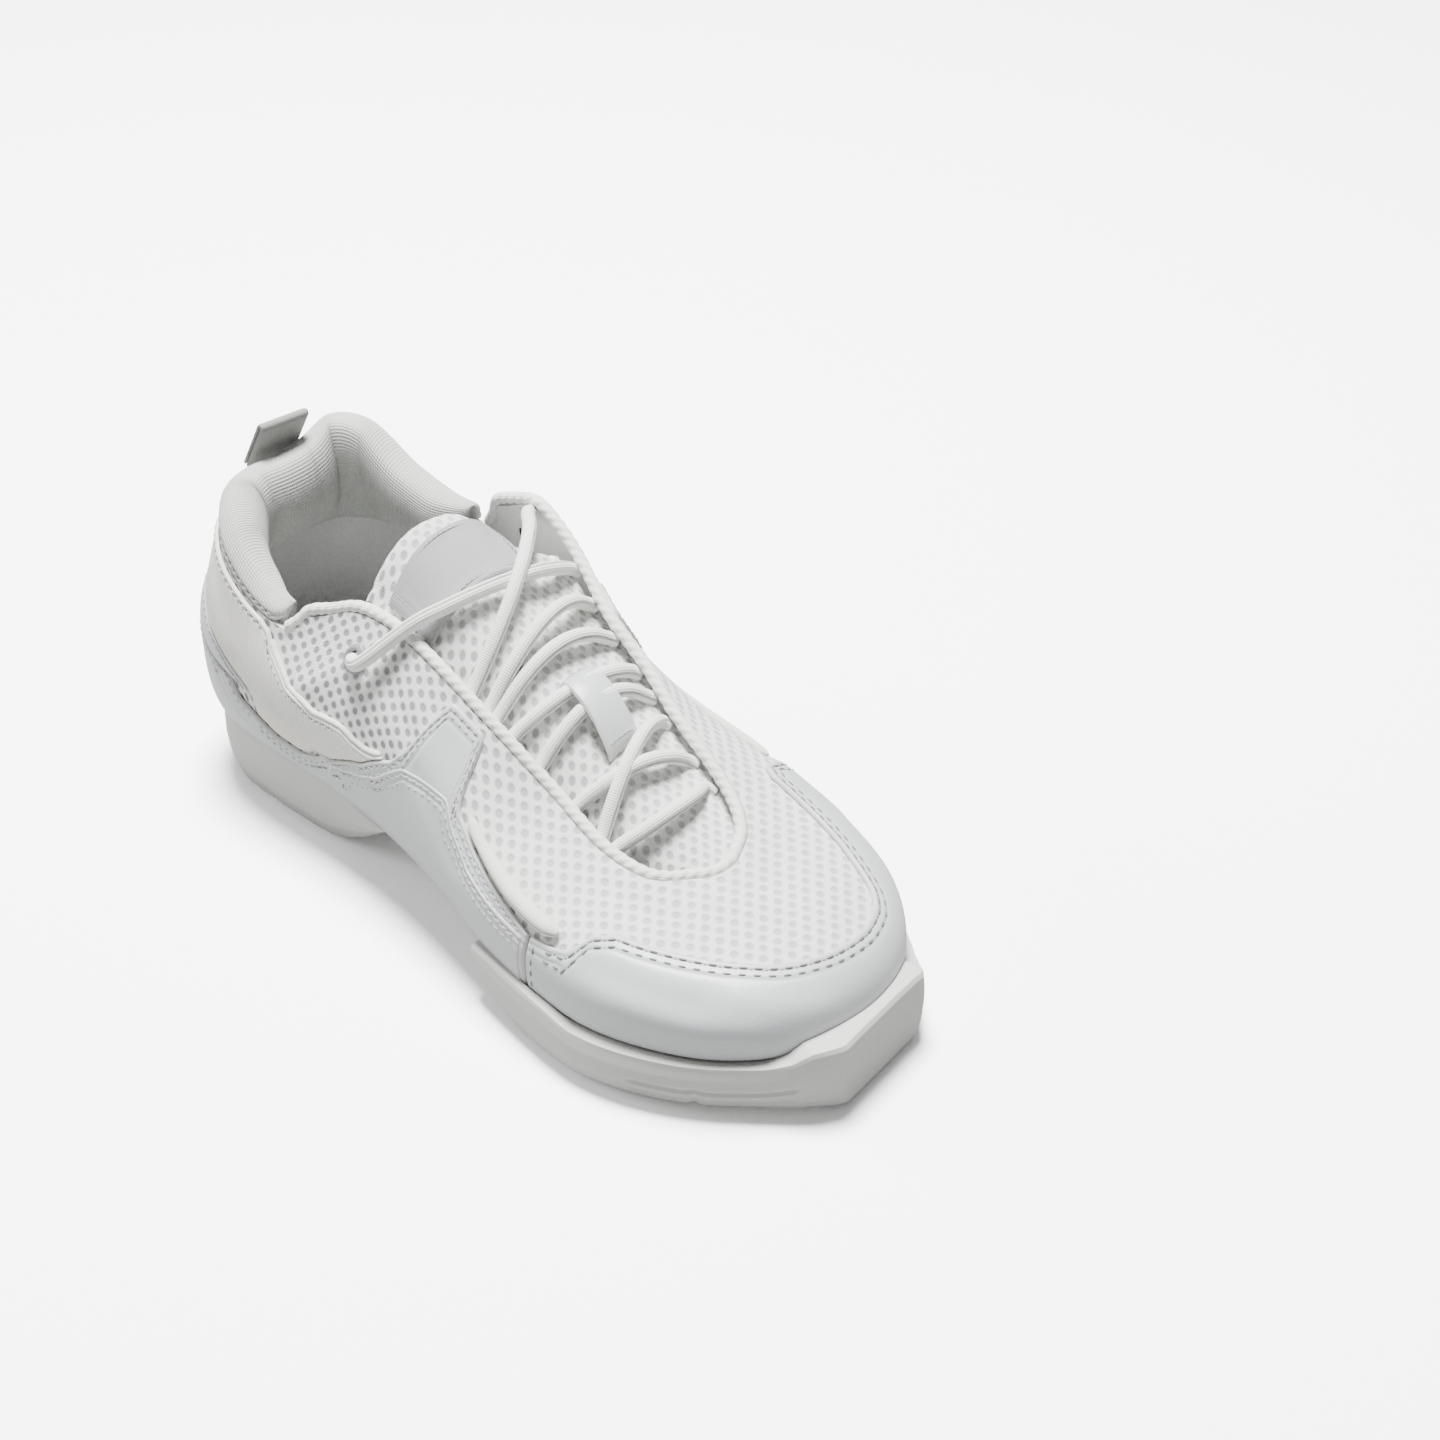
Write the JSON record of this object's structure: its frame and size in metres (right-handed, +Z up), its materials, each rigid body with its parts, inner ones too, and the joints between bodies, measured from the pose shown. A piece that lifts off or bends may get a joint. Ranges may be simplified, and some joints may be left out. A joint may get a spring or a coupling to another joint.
{
  "type": "dance sneaker",
  "caption": "Low white dance sneaker for the right foot with a mesh upper, smooth overlays, padded collar, laces and a sole split into a heel unit and a forefoot unit.",
  "frame": {"origin": "under the middle of the shoe's box, on the floor it stands on", "axes": "+X from the heel to the toe, +Y towards the inner side of the foot, +Z up"},
  "size_m": [0.2708, 0.1136, 0.116],
  "materials": {
    "white mesh": "open knitted mesh",
    "smooth white coated leather": "smooth, satin",
    "cream ribbed leather": "fine ribs, matte",
    "knitted lining": "padded knit",
    "white rubber": "matte",
    "off-white cord": "woven",
    "grey satin": "woven satin",
    "grey foam": "matte"
  },
  "bodies": {
    "root": {"heel_sole": "white rubber", "forefoot_sole": "white rubber", "upper": "white mesh", "insole": "grey foam", "arch_bottom": "smooth white coated leather", "side_panel": "smooth white coated leather", "toe_cap": "smooth white coated leather", "heel_band": "smooth white coated leather", "quarter_panel": "cream ribbed leather", "collar": "knitted lining", "throat_piping": "off-white cord", "side_cord_lateral": "off-white cord", "side_cord_medial": "off-white cord", "eyelet_lateral": "grey satin", "eyelet_medial": "grey satin", "tongue": "white mesh", "tongue_label": "grey satin", "lace_keeper": "smooth white coated leather", "lace_front": "off-white cord", "lace_lower": "off-white cord", "lace_upper": "off-white cord", "lace_top": "off-white cord", "pull_loop": "grey satin", "lace_middle_rear": "off-white cord", "lace_middle_front": "off-white cord"}
  },
  "joints": []
}
